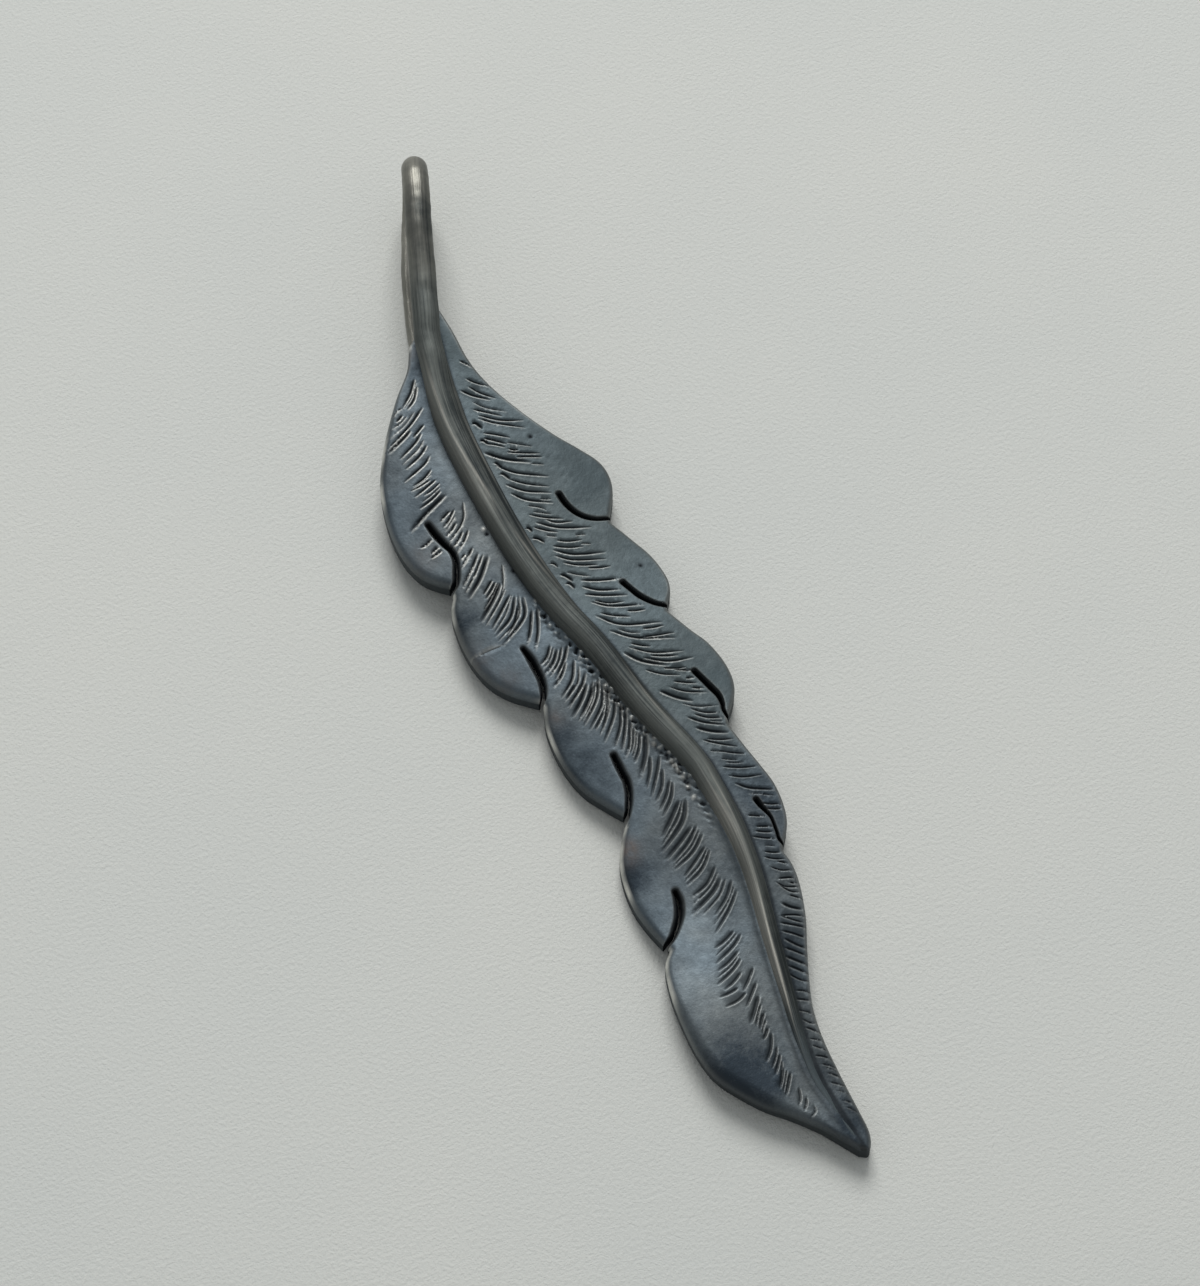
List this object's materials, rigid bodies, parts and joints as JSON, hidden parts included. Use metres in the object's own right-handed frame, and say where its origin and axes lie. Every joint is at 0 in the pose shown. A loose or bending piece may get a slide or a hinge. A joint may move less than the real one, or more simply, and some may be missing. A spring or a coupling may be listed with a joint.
{
  "type": "feather pendant",
  "caption": "Domed metal feather with lobed, saw-cut edges and a tapered wire quill down its face that turns back at the top as a hanging loop.",
  "frame": {"origin": "middle of the pendant's bounding box, on the surface that its back lies on", "axes": "+Y from the feather's tip towards the hanging loop, +Z from the back out through the face, +X to the right as seen from the front with the loop up"},
  "size_m": [0.0154, 0.0702, 0.0066],
  "materials": {
    "oxidised_sheet": "oxidised satin silver, blue-grey, with rubbed edges",
    "rubbed_wire": "oxidised satin silver, burnished along the ridge"
  },
  "bodies": {
    "root": {"vane": "oxidised_sheet", "quill": "rubbed_wire"}
  },
  "joints": []
}
